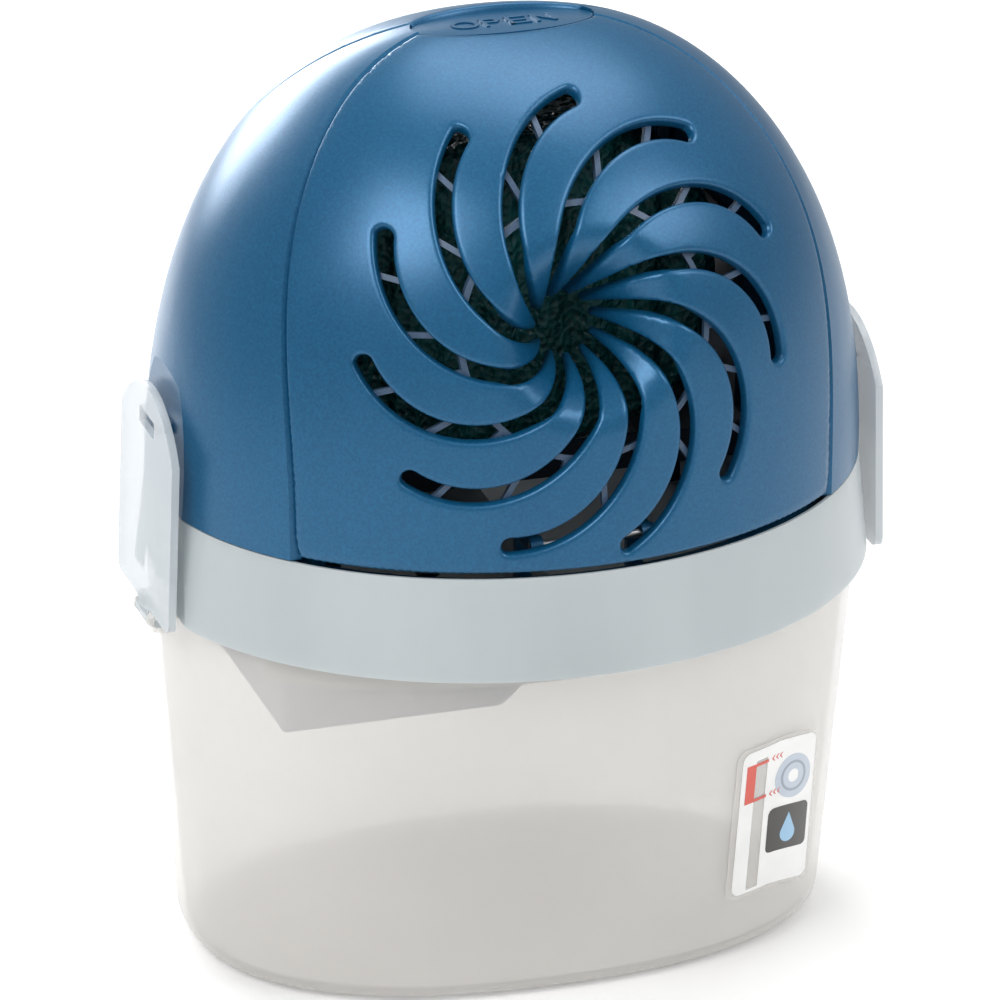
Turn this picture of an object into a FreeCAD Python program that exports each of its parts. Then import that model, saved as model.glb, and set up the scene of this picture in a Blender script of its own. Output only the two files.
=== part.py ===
"""Tab-type moisture absorber: an oval water tank, a clipped-on collar and a domed air-flow housing.

Millimetres, +Z up, front towards -Y, origin at the middle of the tank's base.
"""
import FreeCAD, Part
import math
import os

V = FreeCAD.Vector

# ---- driving dimensions -------------------------------------------------------------------
DOME_BASE_Z = 120.0          # where the housing starts above the collar
DOME_TOP_Z = 234.0           # height of the housing's ridge, before the button is let in
DOME_A = 88.0                # half width of the housing at its base
DOME_B = 73.57               # half depth of the housing at its base
DOME_WALL = 2.0
COLLAR_BOTTOM_Z = 94.5
COLLAR_BOTTOM_A, COLLAR_BOTTOM_B = 90.6, 76.4
COLLAR_TOP_A, COLLAR_TOP_B = 88.0, 73.6
COLLAR_WALL = 2.2
TANK_BASE_A, TANK_BASE_B, TANK_BASE_POWER = 79.6, 52.9, 2.37
TANK_RIM_A, TANK_RIM_B, TANK_RIM_POWER = 87.2, 72.7, 2.05
TANK_WALL = 1.8
TANK_FLOOR = 2.2
TANK_RIM_Z = 100.0
TANK_EDGE_RADIUS = 6.0
SEAM_HALF = 47.0             # half width of the housing's fixed middle band at its base
SEAM_GAP = 0.8               # open joint between the band and each cover
COVER_BOTTOM_Z = 121.3       # lower edge of the front and back covers
SWIRL_X, SWIRL_Y, SWIRL_Z = -0.9, -59.7, 176.9   # a point on the axis of the air slots
SWIRL_TILT_DEG = 15.35       # how far that axis points up from the front
SWIRL_COUNT = 11
SWIRL_FIRST_DEG = 86.9       # direction of the first slot's outer end
SWIRL_STRETCH, SWIRL_SHEAR = 0.969, 0.018
BEND_R = 28.7                # each slot is bent round a circle of this radius
BEND_ALONG = 25.8            # where that circle's centre stands, towards the slot's outer end
BEND_ASIDE = -9.8            # and to the left of that direction
BEND_OUT_DEG = 14.4          # where on that circle the slot's outer end cap starts
BEND_WIDE_DEG = 112.0        # the slot is full width from its outer end to here
BEND_IN_DEG = 150.0          # where the slot runs into the throat
SLOT_HALF = 1.95             # half width of a slot
SLOT_HALF_INNER = 1.0
THROAT_R = 6.2
BELL_DEPTH = 45.5            # depth plane of the throat in the swirl's own frame
BELL_LIP_R = 30.0
GUARD_BOTTOM_Z = 136.0       # lower end of the lattice behind the blades
PAD_A, PAD_B, PAD_Y = 22.5, 11.5, 4.0      # thumb pad of the opening button
PAD_GAP = 0.4
BUTTON_TRAVEL = 1.8
HINGE_Y, HINGE_Z = -67.0, 126.0            # axis that the front cover tilts on, along X
CLIP_AXIS_X, CLIP_AXIS_Z = 89.5, 90.0      # axis that each side clip swings on, along Y
CLIP_HALF = 22.0
CLIP_TOP_Z = 148.5
RECESS_HALF = 24.5
LEDGE_Z = 102.4              # underside of the collar's ledge, which rests on the gasket
TRAY_Z = 104.0               # top of the drip tray's floor


# ---- shapes used by several parts ------------------------------------------------------------
def box(x0, x1, y0, y1, z0, z1):
    return Part.makeBox(x1 - x0, y1 - y0, z1 - z0, V(x0, y0, z0))


def oval_wire(a, b, z, power=2.0):
    """Closed outline |x/a|^power + |y/b|^power = 1 at height z."""
    if power == 2.0:
        return Part.Wire(Part.Ellipse(V(0, 0, z), a, b).toShape())
    points = []
    for i in range(48):
        t = 2 * math.pi * i / 48
        c, s = math.cos(t), math.sin(t)
        x = a * math.copysign(abs(c) ** (2 / power), c)
        y = b * math.copysign(abs(s) ** (2 / power), s)
        points.append(V(x, y, z))
    curve = Part.BSplineCurve()
    curve.interpolate(Points=points, PeriodicFlag=True)
    return Part.Wire(curve.toShape())


def oval_loft(sections, ruled=True):
    return Part.makeLoft([oval_wire(*s) for s in sections], True, ruled)


def oval_cylinder(a, b, z0, z1, x=0.0, y=0.0):
    face = Part.Face(oval_wire(a, b, z0))
    solid = face.extrude(V(0, 0, z1 - z0))
    solid.translate(V(x, y, 0))
    return solid


def oval_ring(a, b, wall, z0, z1):
    return oval_cylinder(a, b, z0, z1).cut(oval_cylinder(a - wall, b - wall, z0 - 1, z1 + 1))


def dome_half_width(s):
    return (1 - s ** 2.199) ** (1 / 2.292)


def dome_half_depth(s):
    return (1 - s ** 4.555) ** (1 / 1.394)


def dome(inset, bottom_z):
    """The housing's rounded form, with its surface moved inwards by inset."""
    rise = DOME_TOP_Z - inset - DOME_BASE_Z
    a, b = DOME_A - inset, DOME_B - inset
    wires = [oval_wire(a, b, bottom_z)] if bottom_z < DOME_BASE_Z - 1 else []
    for s in (0.0, 0.12, 0.25, 0.38, 0.5, 0.6, 0.7, 0.78, 0.85, 0.905, 0.945, 0.975, 0.9956):
        z = DOME_BASE_Z + rise * s
        wires.append(oval_wire(a * dome_half_width(s), b * dome_half_depth(s), z))
    return Part.makeLoft(wires, True, False)


def dome_shell(outer=0.0, inner=DOME_WALL, bottom_z=DOME_BASE_Z):
    return dome(outer, bottom_z).cut(dome(inner, bottom_z - 5))


def seam_y(z, side):
    """Depth of the joint line at height z: side -1 is the front seam, +1 the back seam."""
    s = min(max((z - DOME_BASE_Z) / (DOME_TOP_Z - DOME_BASE_Z), 0.0), 1.0)
    y = SEAM_HALF * (1 - s ** 2.2) ** 0.909
    return side * y + 3.5 * s ** 6 + (2.0 * s if side > 0 else 0.0)


def seam_prism(side, offset, bottom_z):
    """Everything in front of the front seam (side -1) or behind the back seam (side +1)."""
    tops = (0.0, 0.15, 0.3, 0.45, 0.6, 0.7, 0.8, 0.87, 0.93, 0.97, 1.0)
    line = [V(-120, side * (SEAM_HALF + offset), bottom_z)]
    for s in tops:
        z = DOME_BASE_Z + s * (DOME_TOP_Z - DOME_BASE_Z)
        if z > bottom_z:
            line.append(V(-120, seam_y(z, side) + side * offset, z))
    curve = Part.BSplineCurve()
    curve.interpolate(line)
    last = line[-1]
    corners = [last, V(-120, last.y, 250), V(-120, side * 120, 250), V(-120, side * 120, bottom_z),
               line[0]]
    edges = [curve.toShape()]
    for p, q in zip(corners, corners[1:]):
        edges.append(Part.LineSegment(p, q).toShape())
    return Part.Face(Part.Wire(edges)).extrude(V(240, 0, 0))


def pad_hole(gap):
    return oval_cylinder(PAD_A + gap, PAD_B + gap, 215, 245, y=PAD_Y)


def slot_half(turn_deg):
    """Half width of a slot at a place on its bend; it narrows towards the throat."""
    shrink = max(turn_deg - BEND_WIDE_DEG, 0.0) / (BEND_IN_DEG - BEND_WIDE_DEG)
    return SLOT_HALF - (SLOT_HALF - SLOT_HALF_INNER) * shrink


def swirl_point(turn_deg, end_deg, out, y):
    """Point on a slot's bend, moved out from the bend's centre by out."""
    turn = math.radians(turn_deg)
    along = BEND_ALONG + (BEND_R + out) * math.cos(turn)
    aside = BEND_ASIDE + (BEND_R + out) * math.sin(turn)
    end = math.radians(end_deg)
    side = along * math.cos(end) - aside * math.sin(end)
    rise = along * math.sin(end) + aside * math.cos(end)
    x = SWIRL_STRETCH * (side + SWIRL_SHEAR * rise)
    return V(SWIRL_X + x, y, SWIRL_Z + rise + SWIRL_SHEAR * x)


def tilted(shape):
    """Turned from facing straight forwards to the tilt of the swirl's axis."""
    copy = shape.copy()
    copy.rotate(V(SWIRL_X, SWIRL_Y, SWIRL_Z), V(1, 0, 0), -SWIRL_TILT_DEG)
    return copy


def slot_prism(end_deg):
    """One curved air slot, as a prism through the front of the housing."""
    y = -95.0
    stations = (BEND_OUT_DEG, 60.0, BEND_WIDE_DEG, 125.0, BEND_IN_DEG)
    sides = []
    for sign in (1, -1):
        curve = Part.BSplineCurve()
        curve.interpolate([swirl_point(t, end_deg, sign * slot_half(t), y) for t in stations])
        sides.append(curve)
    a0, a1 = sides[0].StartPoint, sides[0].EndPoint
    b0, b1 = sides[1].StartPoint, sides[1].EndPoint
    tip = swirl_point(BEND_OUT_DEG - math.degrees(SLOT_HALF / BEND_R), end_deg, 0.0, y)
    edges = [sides[0].toShape(), Part.Arc(a0, tip, b0).toShape(), sides[1].toShape(),
             Part.LineSegment(b1, a1).toShape()]
    wire = Part.Wire(Part.__sortEdges__(edges))
    return tilted(Part.Face(wire).extrude(V(0, 60, 0)))


def slot_prisms():
    step = 360.0 / SWIRL_COUNT
    return [slot_prism(SWIRL_FIRST_DEG - i * step) for i in range(SWIRL_COUNT)]


def revolve_about_swirl(points):
    """Solid of revolution about the swirl's tilted axis, from radius and depth points."""
    wire = Part.makePolygon([V(SWIRL_X + r, -d, SWIRL_Z) for r, d in points + points[:1]])
    return tilted(Part.Face(wire).revolve(V(SWIRL_X, 0, SWIRL_Z), V(0, 1, 0), 360))


def bell_depth(r):
    """Depth coordinate of the sunk centre's face at radius r, in the swirl's own frame."""
    e = r - THROAT_R
    return BELL_DEPTH + 22.0 * (1 - math.exp(-e / 8.0)) + 0.22 * e


def bell_face():
    radii = (THROAT_R, 8.0, 10.0, 13.0, 17.0, 22.0, BELL_LIP_R)
    return [(r, bell_depth(r)) for r in radii]


def bell_cut(shift):
    """The hollow in front of the bell's face, widened by shift."""
    face = [(r + shift, d) for r, d in bell_face()]
    floor = bell_depth(THROAT_R) - 8
    return revolve_about_swirl([(0.0, floor), (THROAT_R + shift, floor)] + face
                               + [(BELL_LIP_R + shift, 90.0), (0.0, 90.0)])


def bell_wall():
    face = bell_face()
    back = [(r + 1.4, d - 1.8) for r, d in reversed(face)]
    return revolve_about_swirl(face + back)


def grille(bottom_z):
    """The housing's wall with the sunk centre and the air slots, before it is cut to a cover."""
    wall = dome_shell(bottom_z=DOME_BASE_Z).cut(bell_cut(0.6))
    sunk = bell_wall().common(dome(0.0, DOME_BASE_Z)).cut(bell_cut(0.0))
    wall = wall.fuse(sunk)
    wall = wall.cut(Part.makeCompound(slot_prisms()))
    return wall.cut(box(-120, 120, -120, 120, 60, bottom_z))


def guard_layer():
    """Thin curved lattice that lies just behind the blades: two rings and their spokes."""
    layer = dome(2.5, 110).cut(dome(4.1, 105))
    bars = []
    for inner, outer in ((29.6, 31.0), (54.0, 56.0)):
        bars.append(revolve_about_swirl([(inner, 35), (outer, 35), (outer, 95), (inner, 95)]))
    for i in range(2 * SWIRL_COUNT):
        spoke = box(29.8, 55.0, -95, -35, -0.7, 0.7)
        spoke.rotate(V(0, 0, 0), V(0, 1, 0), i * 180.0 / SWIRL_COUNT + 4.0)
        spoke.translate(V(SWIRL_X, 0, SWIRL_Z))
        bars.append(tilted(spoke))
    lattice = bars[0].multiFuse(bars[1:])
    return layer.common(lattice)


def turned_to_back(shape):
    copy = shape.copy()
    copy.rotate(V(0, 0, 0), V(0, 0, 1), 180)
    return copy


def mirrored(shape):
    return shape.mirror(V(0, 0, 0), V(1, 0, 0))


# ---- tank ------------------------------------------------------------------------------------
def water_tank():
    outer = oval_loft([(TANK_BASE_A, TANK_BASE_B, 0.0, TANK_BASE_POWER),
                       (TANK_RIM_A, TANK_RIM_B, COLLAR_BOTTOM_Z, TANK_RIM_POWER)])
    rim = oval_loft([(TANK_RIM_A, TANK_RIM_B, COLLAR_BOTTOM_Z, TANK_RIM_POWER),
                     (TANK_RIM_A, TANK_RIM_B, TANK_RIM_Z, TANK_RIM_POWER)])
    outer = outer.makeFillet(TANK_EDGE_RADIUS, [e for e in outer.Edges if e.BoundBox.ZMax < 0.1])
    w = TANK_WALL
    rise = TANK_FLOOR / COLLAR_BOTTOM_Z
    low_a = TANK_BASE_A + (TANK_RIM_A - TANK_BASE_A) * rise
    low_b = TANK_BASE_B + (TANK_RIM_B - TANK_BASE_B) * rise
    inner = oval_loft([(low_a - w, low_b - w, TANK_FLOOR, TANK_BASE_POWER),
                       (TANK_RIM_A - w, TANK_RIM_B - w, COLLAR_BOTTOM_Z, TANK_RIM_POWER)])
    inner = inner.makeFillet(TANK_EDGE_RADIUS - w,
                             [e for e in inner.Edges if e.BoundBox.ZMax < TANK_FLOOR + 0.1])
    neck = oval_loft([(TANK_RIM_A - w, TANK_RIM_B - w, COLLAR_BOTTOM_Z, TANK_RIM_POWER),
                      (TANK_RIM_A - w, TANK_RIM_B - w, TANK_RIM_Z + 2, TANK_RIM_POWER)])
    tank = outer.fuse(rim).cut(inner.fuse(neck))
    for side in (1, -1):
        tank = tank.fuse(clip_lugs(side))
    return tank.removeSplitter().cut(clip_pin_hole(1)).cut(clip_pin_hole(-1))


def clip_lugs(side):
    lugs = []
    for y in (-8.2, 5.2):
        lug = Part.makeCylinder(2.3, 3.0, V(CLIP_AXIS_X, y, CLIP_AXIS_Z), V(0, 1, 0))
        web = box(TANK_RIM_A - 1.9, CLIP_AXIS_X, y, y + 3.0, CLIP_AXIS_Z - 2.3, CLIP_AXIS_Z + 2.3)
        lugs.append(lug.fuse(web))
    pair = lugs[0].fuse(lugs[1])
    return pair if side > 0 else mirrored(pair)


def clip_pin_hole(side):
    return Part.makeCylinder(1.15, 20, V(side * CLIP_AXIS_X, -10, CLIP_AXIS_Z), V(0, 1, 0))


def level_label():
    """Thin film on the tank's front, cut as a patch of a slightly larger tank."""
    def skin(grow):
        return oval_loft([(TANK_BASE_A + grow, TANK_BASE_B + grow, 0.0, TANK_BASE_POWER),
                          (TANK_RIM_A + grow, TANK_RIM_B + grow, COLLAR_BOTTOM_Z, TANK_RIM_POWER)])
    film = skin(0.3).cut(skin(0.05))
    patch = box(41.4, 69.0, -90, -20, 17.0, 60.0)
    patch = patch.makeFillet(3.0, [e for e in patch.Edges if abs(e.BoundBox.YLength - 70) < 0.1])
    return film.common(patch)


# ---- collar and what hangs in it ------------------------------------------------------------
def recess_tool(side):
    """Arched pocket for a side clip, with a floor that leans in towards its top."""
    outline = [V(0, -RECESS_HALF, 90), V(0, RECESS_HALF, 90), V(0, RECESS_HALF, 138),
               V(0, 0, 154), V(0, -RECESS_HALF, 138)]
    arch = Part.Arc(outline[2], outline[3], outline[4]).toShape()
    lines = [Part.LineSegment(outline[0], outline[1]).toShape(),
             Part.LineSegment(outline[1], outline[2]).toShape(),
             Part.LineSegment(outline[4], outline[0]).toShape()]
    prism = Part.Face(Part.Wire(Part.__sortEdges__(lines + [arch]))).extrude(V(100, 0, 0))
    floor = Part.makePolygon([V(87.0, -40, 88), V(84.6, -40, 156), V(100, -40, 156), V(100, -40, 88),
                              V(87.0, -40, 88)])
    tool = prism.common(Part.Face(floor).extrude(V(0, 80, 0)))
    return tool if side > 0 else mirrored(tool)


def recess_backing(side, z0, z1):
    """Wall behind the pocket's floor."""
    floor = Part.makePolygon([V(87.0, -27, 88), V(84.6, -27, 156), V(82.4, -27, 156),
                              V(84.8, -27, 88), V(87.0, -27, 88)])
    wall = Part.Face(floor).extrude(V(0, 54, 0)).common(box(60, 100, -30, 30, z0, z1))
    return wall if side > 0 else mirrored(wall)


def collar_ring():
    z0, z1, w = COLLAR_BOTTOM_Z, DOME_BASE_Z, COLLAR_WALL
    outer = oval_loft([(COLLAR_BOTTOM_A, COLLAR_BOTTOM_B, z0), (COLLAR_TOP_A, COLLAR_TOP_B, z1)])
    inner = oval_loft([(COLLAR_BOTTOM_A - w, COLLAR_BOTTOM_B - w, z0 - 0.001),
                       (COLLAR_TOP_A - w, COLLAR_TOP_B - w, z1 + 0.001)])
    bevel = oval_loft([(COLLAR_TOP_A - w, COLLAR_TOP_B - w, z1 - 1.4),
                       (COLLAR_TOP_A - w + 1.6, COLLAR_TOP_B - w + 1.6, z1 + 0.2)])
    ring = outer.cut(inner).cut(bevel)
    ledge = oval_cylinder(87.0, 72.6, LEDGE_Z, LEDGE_Z + 2.0).common(outer)
    ring = ring.fuse(ledge.cut(oval_cylinder(80.0, 65.6, 100, 106)))
    for side in (1, -1):
        ring = ring.fuse(recess_backing(side, LEDGE_Z, z1 - 1.6).common(outer))
        ring = ring.cut(recess_tool(side))
    return ring.removeSplitter()


def rim_gasket():
    a, b = TANK_RIM_A + 0.2, TANK_RIM_B + 0.2
    return oval_ring(a, b, 3.2, TANK_RIM_Z + 0.4, LEDGE_Z - 0.1)


def tray_outline(inset, z0, z1):
    """Plan of the tray's sump: a flat-sided oval at the left of the collar."""
    oval = oval_cylinder(94.0 - inset, 57.0 - inset, z0, z1)
    return oval.common(box(-71.0 + inset, 3.0 - inset, -80, 80, z0, z1))


def drip_tray():
    w = 1.6
    rim = oval_cylinder(83.4, 69.0, TRAY_Z + 0.6, TRAY_Z + 2.2)
    pan = oval_cylinder(79.4, 65.0, TRAY_Z - 4.0, TRAY_Z + 1.4)
    tray = rim.fuse(pan).fuse(tray_outline(0.0, 85.0, TRAY_Z - 3.0))
    tray = tray.cut(oval_cylinder(79.4 - w, 65.0 - w, TRAY_Z - 4.0 + w, TRAY_Z + 6))
    tray = tray.cut(tray_outline(w, 85.0 + w, TRAY_Z))
    for i in range(5):
        for j in range(4):
            hole = Part.makeCylinder(3.0, 10, V(-58.0 + 10.5 * i, -27.0 + 18.0 * j, 80))
            tray = tray.cut(hole)
    for x, y in frame_screw_places():
        tray = tray.cut(Part.makeCylinder(1.7, 20, V(x, y, TRAY_Z - 8)))
    return tray.removeSplitter()


def chute_profile(inset, y0, y1):
    """Side-on outline of the drain chute: flat floor at the left, sloping up to the right."""
    top = 84.8
    points = [V(-67 + inset, y0, top + inset), V(-67 + inset, y0, 71.5 + inset),
              V(-12 - 0.4 * inset, y0, 71.5 + inset), V(2.6 - 1.3 * inset, y0, top + inset)]
    return Part.Face(Part.makePolygon(points + points[:1])).extrude(V(0, y1 - y0, 0))


def drain_chute():
    chute = chute_profile(0.0, -38.5, 38.5)
    hollow = chute_profile(1.6, -36.9, 36.9)
    chute = chute.cut(hollow)
    return chute.cut(box(-60, -48, -14, 14, 70, 74))


# ---- housing ---------------------------------------------------------------------------------
def arch_frame():
    """Fixed middle band of the housing, its base ring, hinge lugs and button shelf."""
    shell = dome_shell(bottom_z=DOME_BASE_Z)
    gap = SEAM_GAP / 2
    band = shell.cut(seam_prism(-1, -gap, 100)).cut(seam_prism(1, -gap, 100))
    band = band.cut(box(-120, 120, -120, 120, 90, DOME_BASE_Z + 0.3))
    for side in (1, -1):
        band = band.fuse(recess_backing(side, DOME_BASE_Z + 0.3, 158).common(dome(0.5, 110)))
        band = band.cut(recess_tool(side))
        nib = box(84.8, 87.0, -5.5, 5.5, 138.2, 140.8)
        band = band.fuse(nib if side > 0 else mirrored(nib))
    band = band.cut(pad_hole(PAD_GAP))
    ring = oval_ring(82.2, 68.6, 2.2, 112.0, 122.3)
    low = box(-120, 120, -120, -45.0, 117.4, 130)
    ring = ring.cut(low).cut(turned_to_back(low))
    web = oval_cylinder(86.6, 72.2, 120.3, 122.3).cut(oval_cylinder(81.0, 67.4, 110, 130))
    web = web.common(box(-120, 120, -45.0, 45.0, 110, 130)).common(dome(0.5, 110))
    band = band.fuse(ring).fuse(web)
    for x in (-15.4, 12.4):
        band = band.fuse(hinge_lug(x))
    band = band.fuse(button_shelf())
    for x, y in frame_screw_places():
        boss = Part.makeCylinder(3.2, 7.0, V(x, y, 110.5)).cut(Part.makeCylinder(1.25, 9, V(x, y, 108)))
        reach = box(min(x, x * 1.2), max(x, x * 1.2), y - 2, y + 2, 112, 117)
        band = band.fuse(boss.fuse(reach.common(oval_cylinder(81.0, 67.4, 110, 120)))
                         .cut(Part.makeCylinder(1.25, 9, V(x, y, 108))))
    return band.removeSplitter()


def hinge_lug(x0):
    """Eye of the front cover's hinge, on an arm that leaves room for the cover's foot to swing."""
    eye = Part.makeCylinder(2.4, 3.0, V(x0, HINGE_Y, HINGE_Z), V(1, 0, 0))
    arm = box(x0, x0 + 3.0, HINGE_Y, HINGE_Y + 10.0, HINGE_Z - 1.6, HINGE_Z + 1.6)
    post = box(x0, x0 + 3.0, HINGE_Y + 8.8, HINGE_Y + 11.4, 113.0, HINGE_Z + 1.6)
    foot = box(x0, x0 + 3.0, HINGE_Y - 0.8, HINGE_Y + 11.4, 113.0, 115.6)
    hole = Part.makeCylinder(1.15, 5.0, V(x0 - 1, HINGE_Y, HINGE_Z), V(1, 0, 0))
    return eye.fuse(arm).fuse(post).fuse(foot).cut(hole)


def button_shelf():
    """Bridge under the thumb pad that the button's spring stands on."""
    floor = box(-27.0, 27.0, PAD_Y - 5.0, PAD_Y + 8.0, 216.5, 218.5)
    for x in (-27.0, 25.2):
        floor = floor.fuse(box(x, x + 1.8, PAD_Y - 5.0, PAD_Y + 5.2, 216.5, 229.0))
    floor = floor.common(dome(0.9, 110))
    return floor.cut(Part.makeCylinder(2.2, 8, V(0, PAD_Y + 1.5, 213)))


def frame_screw_places():
    return [(-75.0, -12.0), (-75.0, 12.0), (75.0, -12.0), (75.0, 12.0)]


def frame_screws():
    screws = []
    for x, y in frame_screw_places():
        shank = Part.makeCylinder(1.2, 14.0, V(x, y, 99.6))
        head = Part.makeCylinder(2.8, 1.8, V(x, y, 97.9))
        slot = box(x - 2.2, x + 2.2, y - 0.3, y + 0.3, 97.5, 98.7)
        screws.append(head.fuse(shank).cut(slot))
    return Part.makeCompound(screws)


def trimmed_cover(side):
    cover = grille(COVER_BOTTOM_Z)
    if side > 0:
        cover = turned_to_back(cover)
    return cover.common(seam_prism(side, SEAM_GAP / 2, 100)).cut(pad_hole(PAD_GAP))


def front_cover():
    """Tilting grille cover, with two hinge arms at its foot and a hook at its top."""
    cover = trimmed_cover(-1)
    swing = -HINGE_Y - SEAM_HALF - 0.6
    keep = Part.makeCylinder(swing, 240, V(-120, HINGE_Y, HINGE_Z), V(1, 0, 0))
    low = box(-120, 120, HINGE_Y, 0, 100, HINGE_Z)
    cover = cover.cut(low.cut(keep))
    for x in (-12.0, 8.0):
        arm = box(x, x + 4.0, HINGE_Y - 3.9, HINGE_Y + 2.0, HINGE_Z, HINGE_Z + 8.0)
        arm = arm.fuse(Part.makeCylinder(2.4, 4.0, V(x, HINGE_Y, HINGE_Z), V(1, 0, 0)))
        hole = Part.makeCylinder(1.15, 6.0, V(x - 1, HINGE_Y, HINGE_Z), V(1, 0, 0))
        cover = cover.fuse(arm.common(dome(1.0, 100)).cut(hole))
    hook = box(-6, 6, -12.0, -3.2, 221.6, 223.2).fuse(box(-6, 6, -12.0, -10.2, 221.6, 231.0))
    cover = cover.fuse(hook.common(dome(0.8, 110)))
    return cover.removeSplitter()


def back_cover():
    cover = trimmed_cover(1)
    for x in (-31.0, 27.0):
        tongue = box(x, x + 4.0, 65.15, 66.75, 114.0, 127.0).fuse(
            box(x, x + 4.0, 65.15, 70.0, 122.6, 127.0).common(dome(1.0, 110)))
        cover = cover.fuse(tongue)
    return cover.removeSplitter()


def cover_hinge_pins():
    pins = [Part.makeCylinder(1.1, 7.2, V(x, HINGE_Y, HINGE_Z), V(1, 0, 0)) for x in (-15.3, 8.1)]
    return Part.makeCompound(pins)


def open_button():
    top = Part.Arc(V(-40, -7.5, 232.6), V(-40, 4.0, 230.7), V(-40, 15.5, 229.4)).toShape()
    low = 225.5
    side = [Part.LineSegment(V(-40, 15.5, 229.4), V(-40, 15.5, low)).toShape(),
            Part.LineSegment(V(-40, 15.5, low), V(-40, -7.5, low)).toShape(),
            Part.LineSegment(V(-40, -7.5, low), V(-40, -7.5, 232.6)).toShape()]
    block = Part.Face(Part.Wire([top] + side)).extrude(V(80, 0, 0))
    pad = block.common(oval_cylinder(PAD_A, PAD_B, 220, 240, y=PAD_Y))
    hollow = oval_cylinder(PAD_A - 2.0, PAD_B - 2.0, 220, 227.4, y=PAD_Y)
    pad = pad.cut(hollow)
    guide = Part.makeCylinder(1.8, 11.4, V(0, PAD_Y + 1.5, 216.2))
    return pad.fuse(guide)


def button_latch():
    """Tongue under the pad that stands behind the cover's hook."""
    tongue = box(-5, 5, -2.6, -1.2, 221.0, 227.2)
    return tongue.fuse(box(-5, 5, -2.6, 0.6, 225.8, 227.2))


def button_spring():
    """Closed form of the small coil spring between the pad and its shelf."""
    place = V(0, PAD_Y + 1.5, 218.7)
    return Part.makeCylinder(3.7, 6.5, place).cut(Part.makeCylinder(2.9, 6.5, place))


# ---- inside ----------------------------------------------------------------------------------
def tab_cradle():
    """Open seat that holds the tab upright and lets the brine drip through."""
    half_x, half_y, wall = 57.0, 22.2, 1.8
    cradle = box(-half_x, half_x, -half_y, half_y, 122.6, 124.6)
    for i in range(9):
        slit = box(-46.5 + 10.5 * i, -41.0 + 10.5 * i, -19.0, 19.0, 120, 126)
        cradle = cradle.cut(slit)
    rails = [(124.0, 131.0, -half_y, -half_y + wall)]
    rails += [(z, z + 3.0, half_y - wall, half_y) for z in (128.0, 150.0, 172.0)]
    for z0, z1, y0, y1 in rails:
        cradle = cradle.fuse(box(-half_x, half_x, y0, y1, z0, z1))
    for x in (-half_x, half_x - wall):
        cradle = cradle.fuse(box(x, x + wall, -12.0, half_y, 123.0, 178.0))
        cradle = cradle.fuse(box(x, x + wall, -half_y, half_y, 123.0, 131.0))
    for x in (-50.0, 46.0):
        for y in (-16.0, 12.0):
            cradle = cradle.fuse(box(x, x + 4.0, y, y + 4.0, TRAY_Z - 2.2, 123.0))
    return cradle.removeSplitter()


def tab_outline(y, grow):
    """Upright rounded outline of the tab at depth y."""
    points = []
    for i in range(40):
        t = 2 * math.pi * i / 40
        c, s = math.cos(t), math.sin(t)
        x = (49.5 + grow) * math.copysign(abs(c) ** 0.75, c)
        z = 167.5 + (41.0 + grow) * math.copysign(abs(s) ** 0.75, s)
        points.append(V(x, y, z))
    curve = Part.BSplineCurve()
    curve.interpolate(Points=points, PeriodicFlag=True)
    return Part.Wire(curve.toShape())


def moisture_tab():
    wires = [tab_outline(-17.0, -4.0), tab_outline(-13.5, 0.0), tab_outline(13.5, 0.0),
             tab_outline(17.0, -4.0)]
    tab = Part.makeLoft(wires, True, True)
    for i in range(7):
        x = -36.0 + 12.0 * i
        for y in (-19.5, 19.5):
            tab = tab.cut(Part.makeCylinder(4.2, 110, V(x, y, 110), V(0, 0, 1)))
    return tab


def front_guard():
    return guard_layer().common(seam_prism(-1, 4.0, GUARD_BOTTOM_Z))


def rear_guard():
    return turned_to_back(guard_layer()).common(seam_prism(1, 4.0, GUARD_BOTTOM_Z))


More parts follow.
